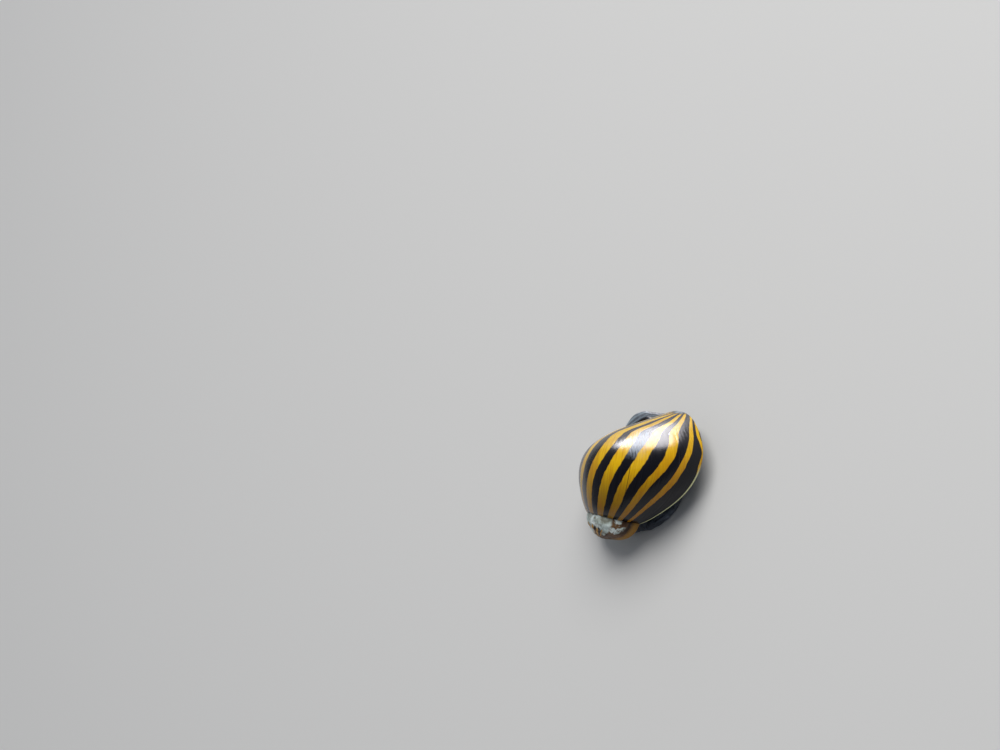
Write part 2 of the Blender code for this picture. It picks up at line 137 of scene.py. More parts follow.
# Share of the half widths, and height
STALK_PROFILE = ((1.16, 1.1), (1.06, 1.5), (1.0, 1.9), (0.98, 2.3), (1.01, 2.7), (1.05, 3.1), (1.05, 3.5))
FLESH_POWER = 2.4
HEAD_ROOT_Y = -1.8
HEAD_X = -0.9
SNOUT_TIP_Y = -7.7
HEAD_HALF_WIDTH = 2.0
FEELER_ROOT = ((1.3, -5.6, 2.1), (2.0, -5.95, 2.02))
FEELER_HANDLES = {
    1: ((HEAD_HALF_WIDTH + 0.62, -6.3, 1.95), (3.9, -7.6, 1.9), (5.6, -7.0, 1.75), (6.9, -4.6, 1.62)),
    -1: ((HEAD_HALF_WIDTH + 0.62, -6.3, 1.95), (3.7, -7.6, 1.9), (4.9, -6.8, 1.75), (5.9, -4.4, 1.62)),
}
FEELER_RADIUS, FEELER_TIP_RADIUS = 0.4, 0.13
FEELER_STEPS = 60
EYE_STALK_ROOT = (1.4, -5.15, 2.15)
EYE_STALK_RADIUS, EYE_STALK_TAPER = 0.62, 0.3
EYE_STALK_STEPS = 12
COLLAR_HANDLES = ((-6.2, -4.2, 3.8), (-4.2, -6.8, 3.9), (-0.4, -6.4, 3.85), (1.4, -4.0, 3.7))
COLLAR_RADIUS, COLLAR_TAPER = 0.6, 0.12
COLLAR_STEPS = 24
SKIN_VOXEL = 0.075
MANTLE_SWELL = 0.28
WALL_CLEARANCE = 0.06
WELD = 0.005
DECK_VOXEL = 0.09
DECK_WALL_STEP = 23
DECK_HEIGHT = 1.1
DECK_REACH = 3.4
COLUMELLA_WAY = (-0.174, 0.985)
TEETH_FROM_APEX = 10.5
TEETH_HALF_RUN = 3.2
TEETH_HEIGHT = 0.24

# Operculum: as in the part's source
LID_LENGTH = 6.0
LID_WIDTH = 3.2
LID_CENTRE = (-0.6, 5.8)
LID_NUCLEUS = (1.7, -0.35)
LID_LEVEL = 2.0
LID_POWER = 2.3
LID_STALK_SIDE = 0.42
# Share of the lid's size, and height, of the flesh under it
LID_LOBE_PROFILE = ((1.3, 0.6), (1.22, 1.1), (1.14, 1.42), (1.08, 1.6), (1.0, 1.66), (0.9, 1.62))
# Shares of the lid's size at its stronger growth arcs
LID_RESTS = (0.93, 0.78, 0.6, 0.41)


def face_outward(made):
    work = bmesh.new()
    work.from_mesh(made.data)
    bmesh.ops.recalc_face_normals(work, faces=work.faces)
    work.to_mesh(made.data)
    work.free()
    return made


def arrange(thing, **settings):
    for key, value in settings.items():
        setattr(thing, key, value)
    return thing


def add_object(name, data):
    made = bpy.data.objects.new(name, data)
    bpy.context.scene.collection.objects.link(made)
    return made


def make_mesh(name, points, faces):
    """A smooth object from points in millimetres."""
    mesh = bpy.data.meshes.new(name)
    mesh.from_pydata((np.asarray(points, dtype=float) * MM).tolist(), [], faces)
    made = face_outward(add_object(name, mesh))
    mesh.shade_smooth()
    return made


def smooth_step(share):
    share = np.clip(share, 0, 1)
    return share * share * (3 - 2 * share)


def oval_reach(c, s, power):
    """How far a rounded oval with half axes of 1 reaches in a direction."""
    return (abs(c) ** power + abs(s) ** power) ** (-1 / power)


def round_steps(count):
    """Angle, cosine and sine of even steps round a circle."""
    for i in range(count):
        angle = TURN * i / count
        yield angle, math.cos(angle), math.sin(angle)


def points_of(mesh):
    """Points in millimetres and unit normals of a mesh."""
    place, normal = np.empty((2, len(mesh.vertices) * 3))
    mesh.vertices.foreach_get("co", place)
    mesh.vertex_normals.foreach_get("vector", normal)
    return place.reshape(-1, 3) / MM, normal.reshape(-1, 3)


def set_points(mesh, place):
    mesh.vertices.foreach_set("co", (place * MM).ravel())
    mesh.update()


# Shell geometry

def section(angle):
    """Radius and height along the coil's axis of the last whorl's oval."""
    c, s = np.cos(angle), np.sin(angle)
    reach = oval_reach(c, s, SECTION_POWER)
    x, y = SECTION_HALF[0] * reach * c, SECTION_HALF[1] * reach * s
    turn_c, turn_s = math.cos(SECTION_TURN), math.sin(SECTION_TURN)
    return SECTION_CENTRE[0] + x * turn_c - y * turn_s, SECTION_CENTRE[1] + x * turn_s + y * turn_c


def coil(radius, height, turn):
    """Points of the log-spiral: a section point turned and grown by WHORL_GROWTH in each whole turn."""
    size = WHORL_GROWTH ** (turn / TURN)
    out, up, axis = size * radius * np.cos(turn), -size * radius * np.sin(turn), size * height
    place = np.array((*APEX_FROM_SOLE, APEX_OVER_LIP + LIP_HEIGHT))
    return out[..., None] * COIL_OUT + up[..., None] * COIL_UP + axis[..., None] * COIL_AXIS + place


def lip_crossings(radius, height):
    """Turn angles at which each point of a profile leaves and enters the lip's plane."""
    turns = np.linspace(*TURN_RANGE, TURN_SAMPLES)
    found = []
    for row in coil(radius[:, None], height[:, None], turns)[..., 2] - LIP_HEIGHT:
        falls = np.where((row[:-1] > 0) & (row[1:] <= 0))[0]
        if not len(falls):
            found.append((np.nan, np.nan))
            continue
        end = falls[-1]
        rises = np.where((row[:end] <= 0) & (row[1:end + 1] > 0))[0]
        k = np.array((end, rises[-1] if len(rises) else 0))
        found.append(turns[k] + (turns[k + 1] - turns[k]) * row[k] / (row[k] - row[k + 1]))
    return np.array(found)


def coil_grid(radius, height, columns):
    """A grid of points on the coil, each row running from the outer lip back to the inner side."""
    ends = lip_crossings(radius, height)
    good = ~np.isnan(ends[:, 0])
    radius, height, ends = radius[good], height[good], ends[good]
    share = np.linspace(0, 1, columns)
    turns = ends[:, :1] + (ends[:, 1:] - ends[:, :1]) * share
    points = coil(radius[:, None], height[:, None], turns)
    points[..., 2] = np.maximum(points[..., 2], LIP_HEIGHT)
    return points, turns, ends[:, :1], good


def signed_power(value, power):
    return np.sign(value) * np.abs(value) ** power


def base_swell_points():
    """Points of the low dome that rounds out the shell's inner side."""
    power = 2 / BASE_SWELL_POWER
    rise, turn = np.meshgrid(np.linspace(0, math.pi / 2, 14), np.linspace(0, TURN, 73)[:-1], indexing="ij")
    flat = np.cos(rise).clip(0) ** power
    x = BASE_SWELL_CENTRE[0] + BASE_SWELL_HALF[0] * flat * signed_power(np.cos(turn), power)
    y = BASE_SWELL_CENTRE[1] + BASE_SWELL_HALF[1] * flat * signed_power(np.sin(turn), power)
    z = LIP_HEIGHT + BASE_SWELL_HALF[2] * np.sin(rise).clip(0) ** power
    return np.stack([x, y, z], -1).reshape(-1, 3)


def convex_hull(points):
    """The convex surface round some points."""
    work = bmesh.new()
    for point in points:
        work.verts.new(point)
    bmesh.ops.convex_hull(work, input=list(work.verts), use_existing_faces=False)
    loose = [v for v in work.verts if not v.link_faces]
    bmesh.ops.delete(work, geom=loose, context="VERTS")
    return work


def push_to_convex(points, more_points, heart):
    """Move grid points out from a heart onto the convex surface; points that lie on it stay."""
    inside = points[::HULL_STEP, ::HULL_STEP].reshape(-1, 3)
    cloud = np.concatenate([inside, points[:, -1], points[[0, -1]].reshape(-1, 3), more_points])
    skirt = cloud[cloud[:, 2] < LIP_HEIGHT + 0.01] - (0, 0, SKIRT_DROP)
    hull = convex_hull(np.concatenate([cloud, skirt]))
    tree = BVHTree.FromBMesh(hull)
    hull.free()
    flat = points.reshape(-1, 3).copy()
    pushed = np.zeros(len(flat))
    for i, point in enumerate(flat):
        length = Vector(point - heart).length
        way = Vector(point - heart).normalized()
        hit = tree.ray_cast(Vector(heart) + way * FAR_OUT, -way)[0]
        gain = (hit - Vector(heart)).length - length if hit else 0
        if gain > LEAST_PUSH:
            flat[i] = point + (point - heart) / length * gain
            pushed[i] = gain
    return flat.reshape(points.shape), pushed.reshape(points.shape[:2])


def relax(points, pushed, rounds):
    """Even out a grid where it was pushed out, keeping its border."""
    weight = np.clip(pushed * 4, 0, 1)[1:-1, 1:-1, None]
    for _ in range(rounds):
        around = (points[:-2, 1:-1] + points[2:, 1:-1] + points[1:-1, :-2] + points[1:-1, 2:]) / 4
        points[1:-1, 1:-1] += weight * 0.6 * (around - points[1:-1, 1:-1])


def end_fade(count, steepness):
    """0 at both ends of a row and 1 further in."""
    return np.minimum(1, np.minimum(np.linspace(0, steepness, count), np.linspace(steepness, 0, count)))


def grid_normals(points, heart):
    """Unit normals of a grid of points, pointing away from the heart."""
    normals = np.cross(np.gradient(points, axis=0), np.gradient(points, axis=1))
    normals /= np.linalg.norm(normals, axis=-1, keepdims=True) + 1e-12
    outward = np.sign((normals * (points - heart)).sum(-1, keepdims=True))
    return normals * np.where(outward == 0, 1, outward)


def grid_faces(corner, flip=False):
    """Faces between the points of a grid, from the grid of their indices."""
    faces = np.stack([corner[:-1, :-1], corner[:-1, 1:], corner[1:, 1:], corner[1:, :-1]], -1).reshape(-1, 4)
    return (faces[:, ::-1] if flip else faces).tolist()


def rim(corner):
    """Indices round the border of a grid, in order."""
    return np.concatenate([corner[0, :-1], corner[:-1, -1], corner[-1, :0:-1], corner[:0:-1, 0]]).tolist()


def add_uv(made, across, along):
    """Give a mesh a map of two numbers for each point, for its material to read."""
    layer = made.data.uv_layers.new(name="growth")
    corner = np.empty(len(made.data.loops), dtype=int)
    made.data.loops.foreach_get("vertex_index", corner)
    layer.data.foreach_set("uv", np.stack([across[corner], along[corner]], -1).astype(np.float32).ravel())


def add_number(made, name, values):
    layer = made.data.attributes.new(name, "FLOAT", "POINT")
    layer.data.foreach_set("value", values.astype(np.float32))


def lean(along):
    return along * (LEAN[0] + along * (LEAN[1] + along * LEAN[2]))


def gather_at_focus(points, growth, along):
    """The growth bent so that stripes meet at the front of the lip, and how far it is bent, 0 to 1."""
    axis = SPIRE_POLE - FOCUS
    axis /= np.linalg.norm(axis)
    over = np.array((0.0, 0.0, 1.0))
    over -= axis * over.dot(axis)
    over /= np.linalg.norm(over)
    from_focus = points - FOCUS
    longitude = np.arctan2(from_focus @ np.cross(axis, over), from_focus @ over)
    value = growth + lean(along)
    start = np.argmin(np.abs(along[:, 0] - FAN_FROM))
    order = np.argsort(longitude[start])
    row_longitude, row_value = longitude[start][order], value[start][order]
    spread = np.interp(longitude, row_longitude, row_value)
    slope = (row_value[-1] - row_value[0]) / (row_longitude[-1] - row_longitude[0])
    spread += slope * (longitude - np.clip(longitude, row_longitude[0], row_longitude[-1]))
    far = smooth_step((growth - FAR_GROWTH[0]) / (FAR_GROWTH[1] - FAR_GROWTH[0]))
    begin = FAN_FROM + (FAR_FAN_FROM - FAN_FROM) * far
    end = FAN_TO + (FAR_FAN_TO - FAN_TO) * far
    share = smooth_step((begin - along) / (begin - end))
    return growth + share * (spread - value), share


def stripe_phase(growth, along):
    """Whole numbers at the golden bands' front edges, and half a number more at their back edges."""
    value = growth + lean(along)
    place = np.clip(along[:, 0], STRIPE_PLACES[-1], STRIPE_PLACES[0])
    phase = np.empty_like(value)
    for i, at in enumerate(place):
        edges = []
        for band in STRIPES:
            edges += [edge_at(at, side) for side in band]
        steps = np.arange(len(edges)) / 2
        phase[i] = np.interp(value[i], edges, steps)
        phase[i] += (value[i] - np.clip(value[i], edges[0], edges[-1])) / 0.5
    return phase


def edge_at(at, values):
    """A band's edge between the stripe places, which fall, with a soft start and end."""
    for k, (before, after) in enumerate(zip(STRIPE_PLACES, STRIPE_PLACES[1:])):
        if at >= after:
            return values[k] + (values[k + 1] - values[k]) * smooth_step((before - at) / (before - after))
    return values[-1]


def growth_relief(growth, along):
    """Fine growth lines and a few stronger rests, as a depth below the surface."""
    growth = growth + LINE_LEAN * along
    lines = 0.5 + 0.5 * np.sin(growth * 118 + 3.0 * np.sin(along * 3.1) + 2.0 * np.sin(growth * 17))
    fine = 0.5 + 0.5 * np.sin(growth * 247 + 2.0 * np.sin(along * 5.3 + 1.0))
    depth = 0.0045 * lines + 0.002 * fine
    for place, width, strength in GROWTH_RESTS:
        depth += strength * np.exp(-((growth - place - 0.008 * np.sin(along * 4)) / width) ** 2)
    return depth


def shell_body():
    """The last whorl as a closed curved sheet, thin at the lip and thicker further in."""
    angles = np.linspace(SUTURE_ANGLE, BASE_ANGLE, SHELL_ROWS)
    radius, height = section(angles)
    points, turns, lip, good = coil_grid(radius, height, SHELL_COLUMNS)
    angles = angles[good]
    points, pushed = push_to_convex(points, base_swell_points(), SHELL_HEART)
    relax(points, pushed, 30)
    along = angles[:, None] + 0 * turns
    growth, bent = gather_at_focus(points, lip - turns, along)
    phase = stripe_phase(growth, along)
    normals = grid_normals(points, SHELL_HEART)
    rows, columns = growth.shape
    across = np.linspace(0, 1, columns) / WALL_THICKENS_OVER
    across = np.minimum(np.minimum(1, across), across[::-1])
    down = np.minimum(1, np.linspace(rows / BASE_THICKENS_ROWS, 0, rows))
    wall = LIP_EDGE_WALL + (WALL - LIP_EDGE_WALL) * np.sin(across[None] * down[:, None] * math.pi / 2)
    fade = end_fade(columns, 60)[None]
    outer = points - normals * (growth_relief(growth, along) * fade * (1 - bent))[..., None]
    inner = points - normals * wall[..., None]
    inner[..., 2] = np.maximum(inner[..., 2], LIP_HEIGHT + 0.02)
    count = growth.size
    corner = np.arange(count).reshape(growth.shape)
    faces = grid_faces(corner) + grid_faces(corner + count, flip=True)
    loop = rim(corner)
    for a, b in zip(loop, loop[1:] + loop[:1]):
        faces.append((b, a, a + count, b + count))
    made = make_mesh("striped_shell", np.concatenate([outer.reshape(-1, 3), inner.reshape(-1, 3)]), faces)
    add_uv(made, np.tile(growth.ravel(), 2), np.tile(along.ravel(), 2))
    add_number(made, "stripe", np.tile(phase.ravel(), 2))
    add_number(made, "inside", np.repeat((0.0, 1.0), count))
    return made


def spire_profile():
    """The worn cap from the axis to the suture, then a short tuck under the last whorl."""
    suture_r, suture_z = section(np.array([SUTURE_ANGLE]))
    share = np.sin(np.linspace(0.03, math.pi / 2, 70))
    rise = (1 - share ** SPIRE_BLUNTNESS).clip(0) ** (1 / SPIRE_BLUNTNESS)
    radius = SPIRE_CORE + (suture_r[0] - SPIRE_CORE) * share
    height = suture_z[0] + SPIRE_HEIGHT * rise
    tuck = np.linspace(0.1, 1, 8)
    radius = np.concatenate([radius, suture_r[0] - SPIRE_TUCK[0] * tuck])
    height = np.concatenate([height, suture_z[0] - SPIRE_TUCK[1] * tuck])
    return radius, height, np.concatenate([share, 1 + 0.1 * tuck])


def erosion(points, scaled):
    """Depth of wear at each point of the cap: hollows, small pits and steps where layers scaled off."""
    depth = np.zeros(points.shape[:2])
    for i, j in np.ndindex(*depth.shape):
        spot = Vector(points[i, j])
        coarse = noise.noise(spot * 1.3)
        fine = noise.noise(spot * 4.1)
        pits = max(0.0, noise.noise(spot * 7.0) - 0.15)
        stepped = 0.34 * scaled[i, j] * (0.8 + 0.5 * coarse)
        depth[i, j] = 0.11 + stepped + 0.09 * coarse + 0.04 * fine + 0.16 * pits
    return depth


def spire():
    """The worn cap as a closed solid, flat where the lip's plane cuts it."""
    radius, height, share = spire_profile()
    points, turns, lip, good = coil_grid(radius, height, SPIRE_COLUMNS)
    share = share[good]
    points, pushed = push_to_convex(points, points[:1, :1].reshape(-1, 3), SPIRE_HEART)
    relax(points, pushed, 12)
    normals = grid_normals(points, SPIRE_HEART)
    outward = points - SPIRE_HEART
    outward /= np.linalg.norm(outward, axis=-1, keepdims=True)
    at_pole = np.clip(1.5 - share / 0.12, 0, 1)[:, None]
    normals = normals * (1 - at_pole[..., None]) + outward * at_pole[..., None]
    growth = lip - turns
    scaled = np.clip((growth - 0.95) / 0.5, 0, 1) * np.clip((3.4 - growth) / 0.8, 0, 1)
    scaled *= np.clip((share - 0.35) / 0.3, 0, 1)[:, None]
    fade = end_fade(SPIRE_COLUMNS, 20)[None]
    ends = fade + (1 - fade) * at_pole
    worn = erosion(points, scaled) * ends * np.minimum(1, (1.08 - share) * 6)[:, None]
    points = points - normals * worn.clip(0)[..., None]
    points[..., 2] = np.maximum(points[..., 2], LIP_HEIGHT)
    corner = np.arange(turns.size).reshape(turns.shape)
    first, last = corner[:, 0], corner[:, -1]
    faces = grid_faces(corner) + np.stack([first[:-1], first[1:], last[1:], last[:-1]], -1).tolist()
    faces += corner[[-1, 0]].tolist()
    made = make_mesh("worn_spire", points.reshape(-1, 3), faces)
    add_uv(made, growth.ravel(), (share[:, None] + 0 * turns).ravel())
    return made


# Flesh

def loft_points(rings):
    """Points and faces of a closed solid through rings of equal length."""
    points = [point for ring in rings for point in ring]
    corner = np.arange(len(points)).reshape(len(rings), -1)
    beside = np.roll(corner, -1, 1)
    faces = np.stack([corner[:-1], beside[:-1], beside[1:], corner[1:]], -1).reshape(-1, 4).tolist()
    return points, faces + corner[[0, -1]].tolist()


def foot_edge(angle):
    """Plan radius of the foot, measured from the front towards the animal's left."""
    c, s = math.cos(angle), math.sin(angle)
    plain = oval_reach(s / FOOT_HALF_WIDTH, c / FOOT_HALF_LENGTH, FOOT_POWER)
    tail = 1.0 - 0.07 * max(0.0, -c) ** 2
    lobe = CORNER_LOBE * math.exp(-((angle - CORNER_ANGLE) / CORNER_SPREAD) ** 2)
    frill = FRILL * math.sin(FRILL_WAVES * angle + 0.6)
    frill += 0.035 * math.sin(31 * angle + 2 * math.sin(3 * angle))
    return plain * tail + lobe + frill


def foot_part():
    """The foot's disc with a rolled edge; its top rises to the stalk, less so under the lid on the tail."""
    rings = []
    for share, z, rise in FOOT_PROFILE:
        ring = []
        for angle, c, s in round_steps(240):
            reach = share * foot_edge(angle)
            before_lid = min(1.0, max(0.0, 0.55 + c))
            ring.append((FOOT_X + reach * s, -reach * c, z + rise * before_lid))
        rings.append(ring)
    return loft_points(rings)


def lid_ring(share, z, count=40):
    """The lid's D-shaped outline at a share of its size, straighter on the side of the stalk."""
    ring = []
    for _, c, s in round_steps(count):
        reach = oval_reach(c, s, LID_POWER)
        flat = LID_STALK_SIDE if s < 0 else 1.0
        x = LID_LENGTH / 2 * reach * c * share
        y = LID_WIDTH * reach * s * flat * share / (1 + LID_STALK_SIDE)
        ring.append((LID_CENTRE[0] + x, LID_CENTRE[1] + y, z))
    return ring


def lid_lobe_part():
    """The cushion of flesh that carries the lid, with a low rim round it."""
    return loft_points([lid_ring(share, z) for share, z in LID_LOBE_PROFILE])


def stalk_part():
    """The waist between foot and mantle, wider at both ends."""
    rings = []
    for share, z in STALK_PROFILE:
        ring = []
        for _, c, s in round_steps(96):
            reach = oval_reach(c, s, FLESH_POWER) * share
            x = STALK_CENTRE[0] + STALK_HALF[0] * reach * c
            y = STALK_CENTRE[1] + STALK_HALF[1] * reach * s
            ring.append((x, y, z))
        rings.append(ring)
    return loft_points(rings)


def head_part():
    """Broad flat head, drawn in behind a blunt snout of two swollen lips."""
    rings = []
    for k in range(41):
        along = k / 40
        y = HEAD_ROOT_Y + (SNOUT_TIP_Y - HEAD_ROOT_Y) * along
        end = math.sqrt(max(0.0, 1 - max(0.0, (along - 0.84) / 0.16) ** 2.2))
        neck = 0.24 * math.exp(-((along - 0.745) / 0.055) ** 2)
        bulge = 0.92 + 0.12 * math.sin(math.pi * min(1, along * 1.1)) - neck
        half = HEAD_HALF_WIDTH * bulge * (0.45 + 0.55 * end)
        mid = 2.2 - 0.1 * along
        top = 2.95 - 0.3 * along ** 2 - 0.5 * neck
        low = 1.62 + 0.05 * along
        top, low = (mid + (edge - mid) * (0.26 + 0.74 * end) for edge in (top, low))
        ring = []
        for _, c, s in round_steps(72):
            reach = oval_reach(c, s, FLESH_POWER)
            x = half * reach * c
            notch = 0.46 * math.exp(-(x / 0.42) ** 2) * max(0.0, along - 0.78) / 0.22
            groove = 0.1 * math.exp(-(x / 0.3) ** 2) * max(0.0, along - 0.45) * max(0.0, s)
            z = (top + low) / 2 + (top - low) / 2 * reach * s - groove
            ring.append((HEAD_X + x, y + notch, z))
        rings.append(ring)
    return loft_points(rings)


def tube_points(path, radii, sides):
    rings = []
    for i, spot in enumerate(path):
        way = (path[min(i + 1, len(path) - 1)] - path[max(i - 1, 0)]).normalized()
        side = way.cross(Vector((0, 0, 1))).normalized()
        rise = side.cross(way)
        rings.append([spot + side * (radii[i] * c) + rise * (radii[i] * s) for _, c, s in round_steps(sides)])
    return loft_points(rings)


def bezier(ends, share):
    a, b, c, d = (Vector(p) for p in ends)
    rest = 1 - share
    return a * rest ** 3 + b * (3 * rest * rest * share) + c * (3 * rest * share * share) + d * share ** 3


def feeler_part(side):
    """A feeler that tapers from a stout root on the head's side to a fine tip."""
    root = [Vector((HEAD_X + side * x, y, z)) for x, y, z in FEELER_ROOT]
    handles = [(HEAD_X + side * x, y, z) for x, y, z in FEELER_HANDLES[side]]
    path = root + [bezier(handles, i / FEELER_STEPS) for i in range(FEELER_STEPS + 1)]
    radii = [0.5, 0.47]
    for i in range(FEELER_STEPS + 1):
        taper = (FEELER_TIP_RADIUS - FEELER_RADIUS) * (i / FEELER_STEPS) ** 0.8
        radii.append(FEELER_RADIUS + taper + 0.014 * math.sin(i * 1.9))
    last = path[-1] + (path[-1] - path[-2]).normalized() * 0.1
    return tube_points(path + [last], radii + [0.06], 24)


def eye_stalk_part(side):
    """A stalk from the head to the eye, whose place comes from its own solid in the frame."""
    low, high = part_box("eye_left" if side > 0 else "eye_right")
    eye = (Vector(low) + Vector(high)) / 2 / MM
    x, y, z = EYE_STALK_ROOT
    root = Vector((HEAD_X + side * x, y, z))
    way = (eye - root).normalized()
    length = (eye - root).length - 0.02
    steps = [i / EYE_STALK_STEPS for i in range(EYE_STALK_STEPS + 1)]
    radii = [EYE_STALK_RADIUS - EYE_STALK_TAPER * step ** 0.8 for step in steps]
    return tube_points([root + way * (length * step) for step in steps], radii, 32)


def mantle_part():
    """The mantle's solid of the frame, welded and swollen a little."""
    work = bmesh.new()
    work.from_mesh(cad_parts["mantle"].data)
    bmesh.ops.remove_doubles(work, verts=work.verts, dist=WELD * MM)
    bmesh.ops.recalc_face_normals(work, faces=work.faces)
    work.normal_update()
    points = [v.co / MM + v.normal * MANTLE_SWELL for v in work.verts]
    faces = [[v.index for v in face.verts] for face in work.faces]
    work.free()
    return points, faces


def collar_part():
    """The mantle's edge over the neck: a roll from one side of the mouth to the other."""
    steps = [i / COLLAR_STEPS for i in range(COLLAR_STEPS + 1)]
    radii = [COLLAR_RADIUS - COLLAR_TAPER * step ** 2 for step in steps]
    return tube_points([bezier(COLLAR_HANDLES, step) for step in steps], radii, 24)


def hold_inside(place, shell):
    """Draw points over the lip's level back to the inner side of the shell's wall."""
    tree = BVHTree.FromPolygons([tuple(v.co / MM) for v in shell.data.vertices],
                                [tuple(face.vertices) for face in shell.data.polygons])
    heart = Vector(SHELL_HEART)
    for i in np.where(place[:, 2] > LIP_HEIGHT + 0.05)[0]:
        way = Vector(place[i]) - heart
        hit = tree.ray_cast(heart, way.normalized())[0]
        room = (hit - heart).length - WALL_CLEARANCE if hit else FAR_OUT
        if way.length > room:
            place[i] = heart + way.normalized() * room
    return place


def join_parts(name, parts):
    points, faces = [], []
    for part_points, part_faces in parts:
        first = len(points)
        points += [tuple(p) for p in part_points]
        faces += [tuple(first + i for i in face) for face in part_faces]
    return make_mesh(name, points, faces)


def even_out(made, voxel, rounds):
    """Merge what overlaps into one even mesh and soften it."""
    arrange(made.modifiers.new("merge", "REMESH"), mode="VOXEL", voxel_size=voxel * MM)
    arrange(made.modifiers.new("soften", "SMOOTH"), factor=0.5, iterations=rounds)
    graph = bpy.context.evaluated_depsgraph_get()
    result = bpy.data.meshes.new_from_object(made.evaluated_get(graph))
    result.shade_smooth()
    made.modifiers.clear()
    made.data = result


def skin(shell):
    """One skin over foot, stalk, mantle, head, feelers and eye stalks, inside the shell's wall."""
    parts = [foot_part(), lid_lobe_part(), stalk_part(), mantle_part(), collar_part(), head_part()]
    for side in (1, -1):
        parts += [feeler_part(side), eye_stalk_part(side)]
    made = join_parts("wet_skin", parts)
    even_out(made, SKIN_VOXEL, 4)
    skin_relief(made.data, shell)
    return made


def warts_and_hollows(place):
    move = np.zeros(len(place))
    for i, point in enumerate(place):
        spot = Vector(point)
        near, far = noise.voronoi(spot * 2.6)[0][:2]
        warts = min(0.35, far - near)
        move[i] = 0.1 * warts + 0.028 * noise.noise(spot * 2.2) + 0.012 * noise.noise(spot * 7.5) - 0.02
    return move


def mouth_relief(place, normal):
    """A crescent slit under the snout between two swollen lips."""
    x, y, z = place.T
    slit_x = (x - HEAD_X) / 0.95
    slit_y = SNOUT_TIP_Y + 1.05 - 0.3 * (1 - slit_x ** 2)
    off = (y - slit_y) / 0.13
    under = (np.abs(slit_x) < 1.15) & (z < 2.1) & (z > 1.2) & (normal[:, 2] < 0.2) & (y < SNOUT_TIP_Y + 2.2)
    across = np.exp(-np.clip(np.abs(slit_x) - 0.7, 0, None) ** 2 / 0.03)
    slit = -0.2 * np.exp(-off ** 2)
    lips = 0.07 * np.exp(-(np.abs(off) - 2.0) ** 2)
    return np.where(under, (slit + lips) * across, 0)


def skin_relief(mesh, shell):
    """Mouth, folds, warts and wrinkles, moved along the normals, and ripples lifted off the sole."""
    place, normal = points_of(mesh)
    x, y, z = place.T
    reach = np.hypot(x - FOOT_X, y)
    turn = np.arctan2(x - FOOT_X, -y)
    wave = turn + 0.035 * np.sin(reach * 2.1) + 0.02 * np.sin(turn * 7)
    wrinkle = 0.6 * np.sin(wave * 52) + 0.4 * np.sin(wave * 87 + 1.0)
    near_edge = np.clip((reach - 4.5) / 3, 0, 1) * np.clip((1.4 - z) / 0.4, 0, 1)
    move = warts_and_hollows(place) * (1 - 0.6 * near_edge) + 0.011 * wrinkle * near_edge
    move -= 0.05 * np.exp(-((z - 0.46 - 0.05 * np.sin(turn * 5)) / 0.07) ** 2) * near_edge
    move *= np.clip((z - 0.12) / 0.25, 0, 1)
    on_head = np.clip((-3.4 - y) / 0.8, 0, 1) * np.clip((z - 1.5) / 0.3, 0, 1) * (np.abs(x - HEAD_X) < 2.6)
    move += 0.022 * on_head * np.sin(y * 13 + 1.6 * np.cos((x - HEAD_X) * 1.3) + 0.8 * np.sin(x * 5))
    move += mouth_relief(place, normal)
    sole_lines = np.sin(y * 5.2 + 1.1 * np.sin(x * 0.9) + 0.7 * np.sin(x * 2.3 + y)) ** 4
    place += normal * move[:, None]
    sole = (place[:, 2] < 0.05) & (reach < 8.0)
    lift = 0.035 * sole_lines * np.clip((7.4 - reach) / 1.0, 0, 1)
    place[:, 2] = np.maximum(place[:, 2], 0) + np.where(sole, lift, 0)
    set_points(mesh, hold_inside(place, shell))


def deck(shell):
    """The porcelain deck: a plate from the toothed inner lip to the shell's wall all round."""
    places = [v.co / MM for v in shell.data.vertices]
    work = convex_hull(places[len(places) // 2::DECK_WALL_STEP])
    across = Vector((-COLUMELLA_WAY[1], COLUMELLA_WAY[0], 0))
    free_edge = Vector((*APEX_FROM_SOLE, 0)) + across * DECK_REACH
    bottom, top = LIP_HEIGHT + 0.06, LIP_HEIGHT + DECK_HEIGHT
    for place, way in ((free_edge, across), ((0, 0, bottom), (0, 0, -1)), ((0, 0, top), (0, 0, 1))):
        everything = list(work.verts) + list(work.edges) + list(work.faces)
        cut = bmesh.ops.bisect_plane(work, geom=everything, plane_co=place, plane_no=way, clear_outer=True)
        edges = [e for e in cut["geom_cut"] if isinstance(e, bmesh.types.BMEdge)]
        bmesh.ops.contextual_create(work, geom=edges)
    work.verts.index_update()
    faces = [[v.index for v in face.verts] for face in work.faces]
    made = make_mesh("toothed_deck", [v.co for v in work.verts], faces)
    work.free()
    even_out(made, DECK_VOXEL, 6)
    place, normal = points_of(made.data)
    run = (place - free_edge) @ np.array((*COLUMELLA_WAY, 0)) + TEETH_FROM_APEX
    past_edge = (place - free_edge) @ np.array(across)
    near_edge = np.clip(1 + past_edge / 0.9, 0, 1)
    middle = np.clip((TEETH_HALF_RUN - np.abs(run)) / 0.6, 0, 1)
    teeth = np.abs(np.sin(run * 2.9)) ** 0.6
    place += normal * (near_edge * middle * TEETH_HEIGHT * (teeth - 0.6))[:, None]
    set_points(made.data, place)
    return made


